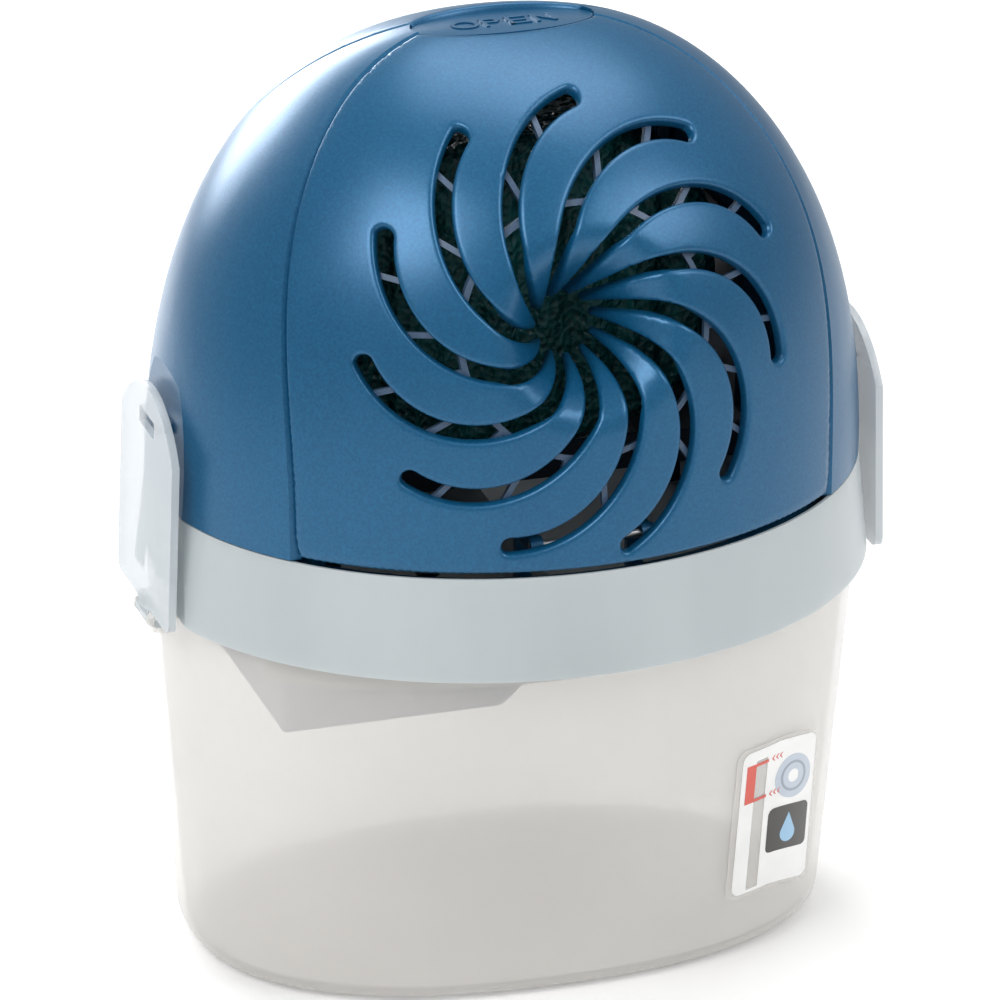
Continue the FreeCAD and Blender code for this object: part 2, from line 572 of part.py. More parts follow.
# ---- side clips ------------------------------------------------------------------------------
def clip(side):
    """Translucent side clip: an arched plate on a knuckle at its foot."""
    z0, z1, r = 92.8, CLIP_TOP_Z, 3.0
    outline = [V(80, -CLIP_HALF, z0 + r), V(80, -CLIP_HALF, 136.0), V(80, 0, z1),
               V(80, CLIP_HALF, 136.0), V(80, CLIP_HALF, z0 + r), V(80, CLIP_HALF - r, z0),
               V(80, -CLIP_HALF + r, z0)]
    k = r * (1 - math.sqrt(0.5))
    edges = [Part.LineSegment(outline[0], outline[1]).toShape(),
             Part.Arc(outline[1], outline[2], outline[3]).toShape(),
             Part.LineSegment(outline[3], outline[4]).toShape(),
             Part.Arc(outline[4], V(80, CLIP_HALF - k, z0 + k), outline[5]).toShape(),
             Part.LineSegment(outline[5], outline[6]).toShape(),
             Part.Arc(outline[6], V(80, -CLIP_HALF + k, z0 + k), outline[0]).toShape()]
    prism = Part.Face(Part.Wire(edges)).extrude(V(20, 0, 0))
    slab = Part.makePolygon([V(89.2, -30, 90), V(87.6, -30, 152), V(89.5, -30, 152),
                             V(91.1, -30, 90), V(89.2, -30, 90)])
    plate = prism.common(Part.Face(slab).extrude(V(0, 60, 0)))
    plate = plate.cut(box(80, 100, -6.2, 6.2, 137.4, 141.6))
    rib = box(87.7, 88.6, -4.0, -2.6, 100.0, 125.0).common(box(80, 100, -30, 30, 99, 126))
    knuckle = Part.makeCylinder(2.2, 9.6, V(CLIP_AXIS_X, -4.8, CLIP_AXIS_Z), V(0, 1, 0))
    web = box(89.2, 91.0, -4.8, 4.8, CLIP_AXIS_Z, 94.0)
    body = plate.fuse(rib).fuse(knuckle).fuse(web)
    body = body.cut(Part.makeCylinder(1.15, 20, V(CLIP_AXIS_X, -10, CLIP_AXIS_Z), V(0, 1, 0)))
    body = body.removeSplitter()
    return body if side > 0 else mirrored(body)


def clip_pin(side):
    return Part.makeCylinder(1.1, 16.2, V(side * CLIP_AXIS_X, -8.1, CLIP_AXIS_Z), V(0, 1, 0))


def main():
    os.makedirs("parts", exist_ok=True)
    nodes = {
        "water_tank": water_tank, "level_label": level_label, "collar_ring": collar_ring,
        "rim_gasket": rim_gasket, "drip_tray": drip_tray, "drain_chute": drain_chute,
        "arch_frame": arch_frame, "frame_screws": frame_screws, "back_cover": back_cover,
        "front_cover": front_cover, "cover_hinge_pins": cover_hinge_pins,
        "front_guard": front_guard, "rear_guard": rear_guard, "open_button": open_button,
        "button_latch": button_latch, "button_spring": button_spring, "tab_cradle": tab_cradle,
        "moisture_tab": moisture_tab, "clip_left": lambda: clip(-1), "clip_right": lambda: clip(1),
        "clip_pin_left": lambda: clip_pin(-1), "clip_pin_right": lambda: clip_pin(1),
    }
    for name, make in nodes.items():
        shape = make()
        b = shape.BoundBox
        print(f"{name:18s} solids {len(shape.Solids)} valid {shape.isValid()} "
              f"volume {shape.Volume / 1000:8.2f} cm3  "
              f"x {b.XMin:.1f}..{b.XMax:.1f} y {b.YMin:.1f}..{b.YMax:.1f} z {b.ZMin:.1f}..{b.ZMax:.1f}")
        shape.exportStep(f"parts/{name}.step")


main()
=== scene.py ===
"""Visual model of the moisture absorber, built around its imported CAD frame.

Lengths in the shape functions are millimetres in the CAD frame; MM turns them to metres.
"""

import math

import bpy
import numpy as np
from mathutils import Matrix, Vector
from mathutils.geometry import delaunay_2d_cdt


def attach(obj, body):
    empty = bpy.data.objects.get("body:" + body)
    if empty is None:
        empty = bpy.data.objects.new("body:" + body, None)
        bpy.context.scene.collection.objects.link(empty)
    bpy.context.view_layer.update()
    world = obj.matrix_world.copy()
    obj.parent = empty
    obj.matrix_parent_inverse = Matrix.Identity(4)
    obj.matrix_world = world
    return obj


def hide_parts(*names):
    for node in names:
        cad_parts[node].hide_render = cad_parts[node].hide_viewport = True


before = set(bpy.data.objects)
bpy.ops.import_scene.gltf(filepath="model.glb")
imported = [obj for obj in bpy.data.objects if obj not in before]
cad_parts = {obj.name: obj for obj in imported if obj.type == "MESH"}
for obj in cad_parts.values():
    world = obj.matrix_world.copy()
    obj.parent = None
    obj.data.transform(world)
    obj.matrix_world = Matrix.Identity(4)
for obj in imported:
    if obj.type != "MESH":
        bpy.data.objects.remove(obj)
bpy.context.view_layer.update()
MM = 0.001

# ---- camera: direction, distance and aim ----------------------------------------------------
VIEW_AZIMUTH = math.radians(-18.284)
VIEW_ELEVATION = math.radians(23.675)
VIEW_ROLL = math.radians(0.621)
VIEW_DISTANCE = 2344.7
VIEW_TARGET = Vector((-0.514, 0.0, 107.888))
SENSOR = 36.0
FOCAL = 9.634 * SENSOR

# ---- the housing's form, as in the CAD source -----------------------------------------------
DOME_BASE_Z, DOME_TOP_Z = 120.0, 234.0
DOME_A, DOME_B = 88.0, 73.57
DOME_A_FALL, DOME_A_ROUND = 2.199, 2.292
DOME_B_FALL, DOME_B_ROUND = 4.555, 1.394
COVER_BOTTOM_Z = 121.3
SEAM_HALF, SEAM_GAP = 47.0, 0.8
SEAM_FALL, SEAM_ROUND = 2.2, 0.909
SEAM_FLARE, SEAM_BACK_WIDER = 3.5, 2.0
HINGE_Y, HINGE_Z, SWING_R = -67.0, 126.0, 19.4
SWIRL_POINT = Vector((-0.9, -59.7, 176.9))
SWIRL_TILT = math.radians(15.35)
SWIRL_AXIS = Vector((0, -math.cos(SWIRL_TILT), math.sin(SWIRL_TILT)))
SWIRL_UP = Vector((0, math.sin(SWIRL_TILT), math.cos(SWIRL_TILT)))
SWIRL_COUNT, SWIRL_FIRST_DEG = 11, 86.9
SWIRL_STRETCH, SWIRL_SHEAR = 0.969, 0.018
BEND_R, BEND_ALONG, BEND_ASIDE = 28.7, 25.8, -9.8
BEND_OUT_DEG, BEND_WIDE_DEG, BEND_IN_DEG = 14.4, 112.0, 150.0
SLOT_HALF, SLOT_HALF_INNER = 1.95, 1.0
BELL_DEPTH, BELL_RISE, BELL_FALLOFF, BELL_SLOPE = 45.5, 22.0, 8.0, 0.22
BELL_REACH, BELL_BLEND = 45, 3.0
THROAT_R = 6.2
PAD_A, PAD_B, PAD_Y, PAD_GAP = 22.5, 11.5, 4.0, 0.4
COLLAR_BOTTOM_Z = 94.5


def clamp01(v):
    return min(max(v, 0.0), 1.0)


def height_share(z):
    return clamp01((z - DOME_BASE_Z) / (DOME_TOP_Z - DOME_BASE_Z))


def dome_a(z):
    return DOME_A * max(1 - height_share(z) ** DOME_A_FALL, 0.0) ** (1 / DOME_A_ROUND)


def dome_b(z):
    return DOME_B * max(1 - height_share(z) ** DOME_B_FALL, 0.0) ** (1 / DOME_B_ROUND)


# ---- development of the dome: angle and height to a flat sheet and back ------------------------
ARC_Z = np.concatenate([np.linspace(100, 225, 400), np.linspace(225.05, 233.95, 400)])
ARC_B = np.array([dome_b(z) if z > DOME_BASE_Z else DOME_B for z in ARC_Z])
ARC_LEN = np.concatenate([[0.0], np.cumsum(np.hypot(np.diff(ARC_Z), np.diff(ARC_B)))])


def flat_from(angle, z):
    """Sheet coordinates of the dome point at that angle from the front."""
    return (dome_a(z) * angle, float(np.interp(z, ARC_Z, ARC_LEN)))


def dome_from(p, q):
    """Dome point of a place on the sheet; the inverse of flat_from."""
    z = float(np.interp(q, ARC_LEN, ARC_Z))
    angle = p / dome_a(z)
    return (dome_a(z) * math.sin(angle), -dome_b(z) * math.cos(angle), z)


def dome_height(x, y):
    """Height of the dome above a point of the plan."""
    low, high = DOME_BASE_Z, DOME_TOP_Z - 0.01
    for _ in range(40):
        mid = (low + high) / 2
        inside = (x / dome_a(mid)) ** 2 + (y / dome_b(mid)) ** 2 < 1
        low, high = (mid, high) if inside else (low, mid)
    return low


def angle_at(x, y, z):
    return math.atan2(x / dome_a(z), -y / dome_b(z))


def seam_depth(z, back):
    """Distance of the seam from the middle plane; the back seam is a little wider."""
    s = height_share(z)
    depth = SEAM_HALF * max(1 - s ** SEAM_FALL, 0.0) ** SEAM_ROUND
    flare = SEAM_FLARE * s ** 6
    return depth + flare + SEAM_BACK_WIDER * s if back else depth - flare


def smooth_min(a, b, k):
    h = clamp01(0.5 + 0.5 * (b - a) / k)
    return b * (1 - h) + a * h - k * h * (1 - h)


def bell_depth(r):
    """Depth coordinate of the sunk centre at radius r, in the swirl's own frame."""
    e = r - THROAT_R
    return BELL_DEPTH + BELL_RISE * (1 - math.exp(-e / BELL_FALLOFF)) + BELL_SLOPE * e


# ---- the swirl of air slots --------------------------------------------------------------------
def slot_half(turn_deg):
    shrink = max(turn_deg - BEND_WIDE_DEG, 0.0) / (BEND_IN_DEG - BEND_WIDE_DEG)
    return SLOT_HALF - (SLOT_HALF - SLOT_HALF_INNER) * shrink


def bend_point(turn_deg, out):
    """Point on a slot's bend in the slot's own frame, moved out from the bend's centre."""
    turn = math.radians(turn_deg)
    return (BEND_ALONG + (BEND_R + out) * math.cos(turn), BEND_ASIDE + (BEND_R + out) * math.sin(turn))


def half_turn(a, b, steps):
    """Points of the half circle that runs on from a round to b."""
    mx, my = (a[0] + b[0]) / 2, (a[1] + b[1]) / 2
    r, start = math.hypot(a[0] - mx, a[1] - my), math.atan2(a[1] - my, a[0] - mx)
    return [(mx + r * math.cos(start + math.pi * i / steps), my + r * math.sin(start + math.pi * i / steps))
            for i in range(1, steps)]


def slot_outline(end, grow=0.0):
    """Closed outline of one slot in the swirl's own frame, widened by grow."""
    steps = 44
    turns = [BEND_OUT_DEG + (BEND_IN_DEG - BEND_OUT_DEG) * i / steps for i in range(steps + 1)]
    outer = [bend_point(t, slot_half(t) + grow) for t in turns]
    inner = [bend_point(t, -slot_half(t) - grow) for t in reversed(turns)]
    loop = outer + half_turn(outer[-1], inner[0], 6) + inner + half_turn(inner[-1], outer[0], 9)
    placed = []
    for u, v in loop:
        rise = u * math.sin(end) + v * math.cos(end)
        side = SWIRL_STRETCH * (u * math.cos(end) - v * math.sin(end) + SWIRL_SHEAR * rise)
        placed.append((side, rise + SWIRL_SHEAR * side))
    return placed


def slot_outlines(grow=0.0):
    step = 2 * math.pi / SWIRL_COUNT
    return [slot_outline(math.radians(SWIRL_FIRST_DEG) - i * step, grow) for i in range(SWIRL_COUNT)]


# ---- mesh helpers -----------------------------------------------------------------------------
def new_object(name, verts, faces, material, smooth_deg=40.0):
    mesh = bpy.data.meshes.new(name)
    mesh.from_pydata([tuple(c * MM for c in v) for v in verts], [], faces)
    mesh.validate()
    mesh.shade_smooth()
    mesh.set_sharp_from_angle(angle=math.radians(smooth_deg))
    mesh.materials.append(material)
    piece = bpy.data.objects.new(name, mesh)
    bpy.context.scene.collection.objects.link(piece)
    return piece


def place(piece, body, slot, *nodes):
    """Put a new piece on its body, in place of the CAD nodes that it stands for; the slot argument is not
    used.
    """
    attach(piece, body)
    if nodes:
        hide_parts(*nodes)


def segments_of(loops):
    a = np.array([p for loop in loops for p in loop], float)
    b = np.array([p for loop in loops for p in loop[1:] + loop[:1]], float)
    return a, b


def distance_to(points, segments):
    """Least distance from each point to the segments."""
    a, b = segments
    d = b - a
    length2 = np.maximum((d ** 2).sum(1), 1e-12)
    out = np.empty(len(points))
    for i, p in enumerate(points):
        t = np.clip(((p - a) * d).sum(1) / length2, 0, 1)
        out[i] = np.sqrt((((a + t[:, None] * d) - p) ** 2).sum(1).min())
    return out


def inside_loop(points, loop):
    """Which points lie in a closed loop."""
    loop = np.array(loop, float)
    x, y = points[:, 0], points[:, 1]
    hit = np.zeros(len(points), bool)
    for (x0, y0), (x1, y1) in zip(loop, np.roll(loop, -1, axis=0)):
        cross = (y0 > y) != (y1 > y)
        xi = x0 + (y - y0) * (x1 - x0) / (y1 - y0 if y1 != y0 else 1e-12)
        hit ^= cross & (x < xi)
    return hit


def sheet_mesh(outline, holes, extra, pitch):
    """Triangles that fill an outline around holes, with a fine even fill of points."""
    loops = [outline] + holes
    edge = segments_of(loops)
    xs, ys = zip(*outline)
    fill = []
    row = 0
    y = min(ys)
    while y < max(ys):
        x = min(xs) + (pitch / 2 if row % 2 else 0.0)
        while x < max(xs):
            fill.append((x, y))
            x += pitch
        y += pitch * 0.866
        row += 1
    fill = np.array(fill)
    keep = inside_loop(fill, outline)
    for hole in holes:
        keep &= ~inside_loop(fill, hole)
    fill = fill[keep]
    fill = fill[distance_to(fill, edge) > pitch * 0.75]
    if extra:
        near = np.array(extra, float)
        ok = inside_loop(near, outline)
        for hole in holes:
            ok &= ~inside_loop(near, hole)
        near = near[ok]
        near = near[distance_to(near, edge) > 0.12]
        gap = np.array([np.hypot(*(near - p).T).min() for p in fill])
        fill = np.concatenate([near, fill[gap > pitch * 0.6]])
    points, edges = [], []
    for loop in loops:
        first = len(points)
        points += [tuple(p) for p in loop]
        edges += [(first + i, first + (i + 1) % len(loop)) for i in range(len(loop))]
    points += [tuple(p) for p in fill]
    got = delaunay_2d_cdt([Vector(p) for p in points], edges, [], 0, 1e-5)
    verts = np.array([tuple(v) for v in got[0]])
    tris = np.array([list(f) for f in got[2] if len(f) == 3])
    middle = verts[tris].mean(axis=1)
    keep = inside_loop(middle, outline)
    for hole in holes:
        keep &= ~inside_loop(middle, hole)
    return verts, tris[keep], edge


def boundary_edges(tris):
    """Edges that only one triangle has, in the triangles' order."""
    seen = {}
    for t in tris:
        for a, b in ((t[0], t[1]), (t[1], t[2]), (t[2], t[0])):
            seen[(a, b)] = True
    return [(a, b) for a, b in seen if (b, a) not in seen]


def thick_sheet(top, bottom, tris):
    """Closed solid from two matching sheets of points and their triangles."""
    n = len(top)
    faces = [tuple(int(i) for i in t) for t in tris]
    faces += [tuple(int(i) + n for i in reversed(t)) for t in tris]
    faces += [(int(b), int(a), int(a) + n, int(b) + n) for a, b in boundary_edges(tris)]
    return list(top) + list(bottom), faces


def round_over(d, radius):
    """How far a rounded edge falls away at distance d from it."""
    if d >= radius:
        return 0.0
    return radius - math.sqrt(max(radius ** 2 - (radius - d) ** 2, 0.0))


def surface_normals(points, tris):
    p = np.array(points)
    n = np.zeros_like(p)
    face = np.cross(p[tris[:, 1]] - p[tris[:, 0]], p[tris[:, 2]] - p[tris[:, 0]])
    for k in range(3):
        np.add.at(n, tris[:, k], face)
    return n / np.maximum(np.linalg.norm(n, axis=1), 1e-12)[:, None]


# ---- materials ----------------------------------------------------------------------------------
def new_material(name):
    material = bpy.data.materials.new(name)
    material.use_nodes = True
    return material, material.node_tree.nodes, material.node_tree.links


def shader_of(nodes):
    return nodes["Principled BSDF"]


def noise(nodes, links, scale, detail=2.0, stretch=(1, 1, 1)):
    place_node = nodes.new("ShaderNodeTexCoord")
    mapping = nodes.new("ShaderNodeMapping")
    mapping.inputs["Scale"].default_value = stretch
    texture = nodes.new("ShaderNodeTexNoise")
    texture.inputs["Scale"].default_value = scale
    texture.inputs["Detail"].default_value = detail
    links.new(place_node.outputs["Object"], mapping.inputs["Vector"])
    links.new(mapping.outputs["Vector"], texture.inputs["Vector"])
    return texture.outputs["Fac"]


def ramp(nodes, links, fac, low, high, low_at=0.3, high_at=0.7):
    node = nodes.new("ShaderNodeValToRGB")
    node.color_ramp.elements[0].position = low_at
    node.color_ramp.elements[1].position = high_at
    node.color_ramp.elements[0].color = (*low, 1)
    node.color_ramp.elements[1].color = (*high, 1)
    links.new(fac, node.inputs["Fac"])
    return node.outputs["Color"]


def mix(nodes, links, fac, a, b):
    node = nodes.new("ShaderNodeMix")
    node.data_type = "RGBA"
    node.inputs["Factor"].default_value = fac
    links.new(a, node.inputs["A"])
    links.new(b, node.inputs["B"])
    return node.outputs["Result"]


def bump(nodes, links, height, strength, distance, shader):
    node = nodes.new("ShaderNodeBump")
    node.inputs["Strength"].default_value = strength
    node.inputs["Distance"].default_value = distance
    links.new(height, node.inputs["Height"])
    links.new(node.outputs["Normal"], shader.inputs["Normal"])


def range_map(nodes, links, value, low, high):
    node = nodes.new("ShaderNodeMapRange")
    node.inputs["To Min"].default_value = low
    node.inputs["To Max"].default_value = high
    links.new(value, node.inputs["Value"])
    return node.outputs["Result"]


def housing_material(name, deep, light, rough, metallic):
    """Satin pearl-blue moulded plastic: fine flake, faint flow marks and a light grain."""
    material, nodes, links = new_material(name)
    shader = shader_of(nodes)
    flake = ramp(nodes, links, noise(nodes, links, 1500, 1), deep, light, 0.35, 0.75)
    flow = ramp(nodes, links, noise(nodes, links, 22, 3, (1, 1, 0.35)), deep, light, 0.25, 0.85)
    links.new(mix(nodes, links, 0.45, flake, flow), shader.inputs["Base Color"])
    shader.inputs["Metallic"].default_value = metallic
    shader.inputs["Coat Weight"].default_value = 0.12
    shader.inputs["Coat Roughness"].default_value = 0.3
    links.new(range_map(nodes, links, noise(nodes, links, 60, 4), *rough), shader.inputs["Roughness"])
    bump(nodes, links, noise(nodes, links, 1800, 2), 0.08, 0.0002, shader)
    return material


def let_glow(shader, weight, radius):
    """Let light wander under the surface of milky plastic, up to radius metres."""
    shader.inputs["Subsurface Weight"].default_value = weight
    shader.inputs["Subsurface Radius"].default_value = (radius, radius, radius)
    shader.inputs["Subsurface Scale"].default_value = 1.0


def moulded_material(name, dark, light, rough, scatter=0.0):
    """Plain or slightly translucent moulded plastic with faint flow marks."""
    material, nodes, links = new_material(name)
    shader = shader_of(nodes)
    tone = ramp(nodes, links, noise(nodes, links, 18, 4, (1, 1, 0.3)), dark, light)
    links.new(tone, shader.inputs["Base Color"])
    links.new(range_map(nodes, links, noise(nodes, links, 80, 3), rough - 0.05, rough + 0.05),
              shader.inputs["Roughness"])
    if scatter:
        let_glow(shader, scatter, 0.004)
    bump(nodes, links, noise(nodes, links, 700, 2), 0.05, 0.0003, shader)
    return material


def frosted_material(name, dark, light, rough, opacity, glow):
    """Milky plastic: soft light comes through it and shapes behind it show faintly."""
    material, nodes, links = new_material(name)
    shader = shader_of(nodes)
    tone = ramp(nodes, links, noise(nodes, links, 12, 3), dark, light)
    links.new(tone, shader.inputs["Base Color"])
    shader.inputs["Alpha"].default_value = opacity
    let_glow(shader, glow, 0.006)
    links.new(range_map(nodes, links, noise(nodes, links, 50, 3), rough - 0.04, rough + 0.04),
              shader.inputs["Roughness"])
    bump(nodes, links, noise(nodes, links, 900, 2), 0.06, 0.0002, shader)
    return material


def metal_material(name):
    material, nodes, links = new_material(name)
    shader = shader_of(nodes)
    tone = ramp(nodes, links, noise(nodes, links, 300, 3, (1, 1, 8)), (0.38, 0.39, 0.4), (0.6, 0.61, 0.63))
    links.new(tone, shader.inputs["Base Color"])
    shader.inputs["Metallic"].default_value = 1.0
    links.new(range_map(nodes, links, noise(nodes, links, 400, 2), 0.25, 0.4), shader.inputs["Roughness"])
    return material


def crystal_material(name):
    """Dark teal pressed crystals with small glinting grains, half mixed with large black blotches of
    painted shade.
    """
    material, nodes, links = new_material(name)
    shader = shader_of(nodes)
    place_node = nodes.new("ShaderNodeTexCoord")
    cells = nodes.new("ShaderNodeTexVoronoi")
    cells.inputs["Scale"].default_value = 520
    links.new(place_node.outputs["Object"], cells.inputs["Vector"])
    tone = ramp(nodes, links, cells.outputs["Distance"], (0.0, 0.016, 0.02), (0.006, 0.13, 0.135), 0.1, 0.8)
    # large black blotches at random places: painted shade of the hollow the tab sits in; the teal between
    # them is its lit colour
    painted_shade_blotch = ramp(nodes, links, noise(nodes, links, 60, 3), (0.0, 0.004, 0.006), (0.012, 0.15, 0.15))
    links.new(mix(nodes, links, 0.5, tone, painted_shade_blotch), shader.inputs["Base Color"])
    shader.inputs["Roughness"].default_value = 0.4
    bump(nodes, links, cells.outputs["Distance"], 0.7, 0.0012, shader)
    return material


blue = housing_material("pearl_blue", (0.002, 0.074, 0.180), (0.008, 0.126, 0.260), (0.3, 0.4), 0.32)
guard_blue = housing_material("guard_blue", (0.04, 0.08, 0.14), (0.07, 0.12, 0.2), (0.4, 0.5), 0.1)
navy = moulded_material("cradle_navy", (0.006, 0.01, 0.018), (0.012, 0.02, 0.035), 0.4)
collar = moulded_material("collar_grey", (0.43, 0.475, 0.49), (0.50, 0.545, 0.56), 0.34, 0.25)
tray = moulded_material("tray_grey", (0.3, 0.33, 0.345), (0.36, 0.39, 0.4), 0.4, 0.2)
chute = moulded_material("chute_blue", (0.008, 0.05, 0.15), (0.015, 0.08, 0.2), 0.4)
rubber = moulded_material("gasket_rubber", (0.1, 0.11, 0.115), (0.14, 0.15, 0.155), 0.6)
frosted = frosted_material("tank_frosted", (0.80, 0.775, 0.74), (0.86, 0.835, 0.80), 0.35, 0.42, 0.3)
clip_clear = frosted_material("clip_clear", (0.50, 0.56, 0.60), (0.57, 0.63, 0.67), 0.25, 0.6, 0.1)
steel = metal_material("pin_steel")
teal = crystal_material("tab_crystal")
film = moulded_material("label_white", (0.84, 0.84, 0.83), (0.88, 0.88, 0.87), 0.25)


def paint(node, material):
    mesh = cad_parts[node].data
    mesh.materials.clear()
    mesh.materials.append(material)


PAINT = {
    "water_tank": frosted, "level_label": film, "collar_ring": collar, "rim_gasket": rubber,
    "drip_tray": tray, "drain_chute": chute, "arch_frame": blue, "frame_screws": steel,
    "back_cover": blue, "front_cover": blue, "cover_hinge_pins": steel, "front_guard": guard_blue,
    "rear_guard": guard_blue, "open_button": blue, "button_latch": navy, "button_spring": steel,
    "tab_cradle": navy, "moisture_tab": teal, "clip_left": clip_clear, "clip_right": clip_clear,
    "clip_pin_left": collar, "clip_pin_right": collar,
}
for node_name, node_material in PAINT.items():
    paint(node_name, node_material)


# ---- covers with the swirl ------------------------------------------------------------------------
COVER_WALL, EDGE_ROUNDING, COVER_PITCH, POINT_SPACING = 2.6, 1.2, 1.7, 0.16
RINGS_ROUND_SLOTS = (0.18, 0.45, 0.85, 1.4)
RINGS_ROUND_THROAT = (7.0, 8.0, 9.2, 10.6, 12.2, 14.0, 16.0, 18.5, 21.0)
RINGS_INSIDE_RIM = (0.2, 0.5, 0.95, 1.5)


def cover_limit(z, back):
    """Least depth of a cover at height z; the front one is trimmed to swing clear at its foot."""
    depth = seam_depth(z, back) + SEAM_GAP / 2
    if not back and z < HINGE_Z:
        depth = max(depth, -HINGE_Y - math.sqrt(SWING_R ** 2 - (HINGE_Z - z) ** 2))
    return depth


def pad_edge(t, back):
    """Point of the pad's opening in a cover's own frame: x and depth in front of the middle."""
    middle = PAD_Y if back else -PAD_Y
    return (PAD_A + PAD_GAP) * math.cos(t), middle + (PAD_B + PAD_GAP) * math.sin(t)


def cover_outline(back):
    """Edge of a cover on the flat sheet: foot, right seam, pad opening, left seam."""
    pad = []
    for i in range(181):
        x, depth = pad_edge(math.pi * (i / 90.0 - 0.5), back)
        z = dome_height(x, depth)
        if x > 0 and depth >= cover_limit(z, back):
            pad.append((x, depth, z))
    top_z = pad[0][2]
    side = []
    for i in range(70):
        z = COVER_BOTTOM_Z + (top_z - COVER_BOTTOM_Z) * (1 - (1 - i / 70) ** 1.6)
        b = dome_b(z)
        side.append(flat_from(math.acos(min(cover_limit(z, back) / b, 1.0)), z))
    arc = [flat_from(angle_at(x, -depth, z), z) for x, depth, z in pad]
    right = side + arc
    left = [(-p, q) for p, q in reversed(right)]
    foot_q = side[0][1]
    foot = [(side[0][0] * (2 * i / 70 - 1), foot_q) for i in range(1, 70)]
    return right + left[(1 if abs(right[-1][0]) < 0.3 else 0):] + foot


def flat_of_swirl(side, rise):
    """Sheet coordinates of the dome point over a point of the swirl's own frame."""
    base = SWIRL_POINT + Vector((side, 0, 0)) + SWIRL_UP * rise
    low, high = -34.0, 34.0
    for _ in range(34):
        mid = (low + high) / 2
        x, y, z = base + SWIRL_AXIS * mid
        inside = z < DOME_TOP_Z - 0.01 and (x / dome_a(z)) ** 2 + (y / dome_b(z)) ** 2 < 1
        low, high = (mid, high) if inside else (low, mid)
    x, y, z = base + SWIRL_AXIS * low
    return flat_from(angle_at(x, y, z), z)


def sunk_point(p, q):
    """Point of a cover's outer face for a place on the sheet, with the centre sunk."""
    point = Vector(dome_from(p, q))
    local = point - SWIRL_POINT
    r = math.hypot(local.x, local.dot(SWIRL_UP))
    if r < BELL_REACH:
        depth = local.dot(SWIRL_AXIS) - SWIRL_POINT.y
        sunk = smooth_min(depth, bell_depth(max(r, THROAT_R * 0.9)), BELL_BLEND)
        point += SWIRL_AXIS * (sunk - depth)
    return tuple(point)


def cover_mesh(name, back):
    """A cover as one closed shell, with rounded edges round its slots and its rim."""
    throat = [(THROAT_R * math.cos(2 * math.pi * i / 40), THROAT_R * math.sin(2 * math.pi * i / 40))
              for i in range(40)]
    holes = [[flat_of_swirl(*p) for p in loop] for loop in slot_outlines() + [throat]]
    extra = []
    for grow in RINGS_ROUND_SLOTS:
        for loop in slot_outlines(grow):
            extra += [flat_of_swirl(*p) for p in loop]
    for r in RINGS_ROUND_THROAT:
        count = int(2 * math.pi * r / 1.1)
        for i in range(count):
            t = 2 * math.pi * i / count
            extra.append(flat_of_swirl(r * math.cos(t), r * math.sin(t)))
    outline = cover_outline(back)
    rim = np.array(outline)
    centre = rim.mean(axis=0)
    for inset in RINGS_INSIDE_RIM:
        step = rim - centre
        extra += [tuple(p) for p in rim - inset * step / np.linalg.norm(step, axis=1)[:, None]]
    spread = []
    taken = set()
    for e in extra:
        key = (round(e[0] / POINT_SPACING), round(e[1] / POINT_SPACING))
        if key not in taken:
            taken.add(key)
            spread.append(e)
    flat, tris, edge = sheet_mesh(outline, holes, spread, COVER_PITCH)
    fall = distance_to(flat, edge)
    base = np.array([sunk_point(p, q) for p, q in flat])
    normals = surface_normals(base, tris)
    if normals[:, 1].mean() > 0:
        tris = tris[:, ::-1]
        normals = -normals
    drop = np.array([round_over(d, EDGE_ROUNDING) for d in fall])
    top = base - normals * drop[:, None]
    bottom = base - normals * COVER_WALL
    if back:
        top = top * (-1, -1, 1)
        bottom = bottom * (-1, -1, 1)
    verts, faces = thick_sheet(top, bottom, tris)
    return new_object(name, verts, faces, blue, 55)


place(cover_mesh("front_cover_shell", False), "front_cover", "housing_blue", "front_cover")
place(cover_mesh("back_cover_shell", True), "upper_unit", "housing_blue", "back_cover")


# ---- CAD pieces that keep their shape: softened edges and a grainy tab ---------------------------
SHARP_DEG = 38.0
GRAIN_MESH, GRAIN_SIZE, GRAIN_PUSH = 1.3, 2.6, -1.0


def soften(node, width):
    """Round the sharp edges of a CAD piece in the picture."""
    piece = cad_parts[node]
    weld = piece.modifiers.new("weld", "WELD")
    weld.merge_threshold = 0.00001
    bevel = piece.modifiers.new("soft_edges", "BEVEL")
    bevel.width = width * MM
    bevel.segments = 3
    bevel.limit_method = "ANGLE"
    bevel.angle_limit = math.radians(SHARP_DEG)
    bevel.harden_normals = True


SOFT_EDGES = {
    "collar_ring": 0.5, "clip_left": 0.6, "clip_right": 0.6, "open_button": 0.5, "drip_tray": 0.4,
    "drain_chute": 0.4,
}
for node_name, edge_width in SOFT_EDGES.items():
    soften(node_name, edge_width)


def make_grainy(node):
    """Pressed crystals: an even mesh whose points are pushed inwards a little at random."""
    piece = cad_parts[node]
    remesh = piece.modifiers.new("grain_mesh", "REMESH")
    remesh.mode = "VOXEL"
    remesh.voxel_size = GRAIN_MESH * MM
    texture = bpy.data.textures.new("crystal_grain", "VORONOI")
    texture.noise_scale = GRAIN_SIZE * MM
    push = piece.modifiers.new("grain", "DISPLACE")
    push.texture = texture
    push.strength = GRAIN_PUSH * MM
    push.mid_level = 0.0


make_grainy("moisture_tab")


# ---- label: thin prints that follow the tank's wall ------------------------------------------------
TANK_FOOT, TANK_LIP = (79.6, 52.9, 2.37), (87.2, 72.7, 2.05)
DROOP, DROOP_FROM_X, DROOP_OVER, DROOP_POWER = 4.2, 54.0, 14.0, 1.4
FILM_LAYER, PRINT_LAYER, MARK_LAYER = (0.02, 0.08), (0.10, 0.16), (0.18, 0.24)
FIELD_LAYER, TOP_LAYER = (0.18, 0.22), (0.23, 0.26)


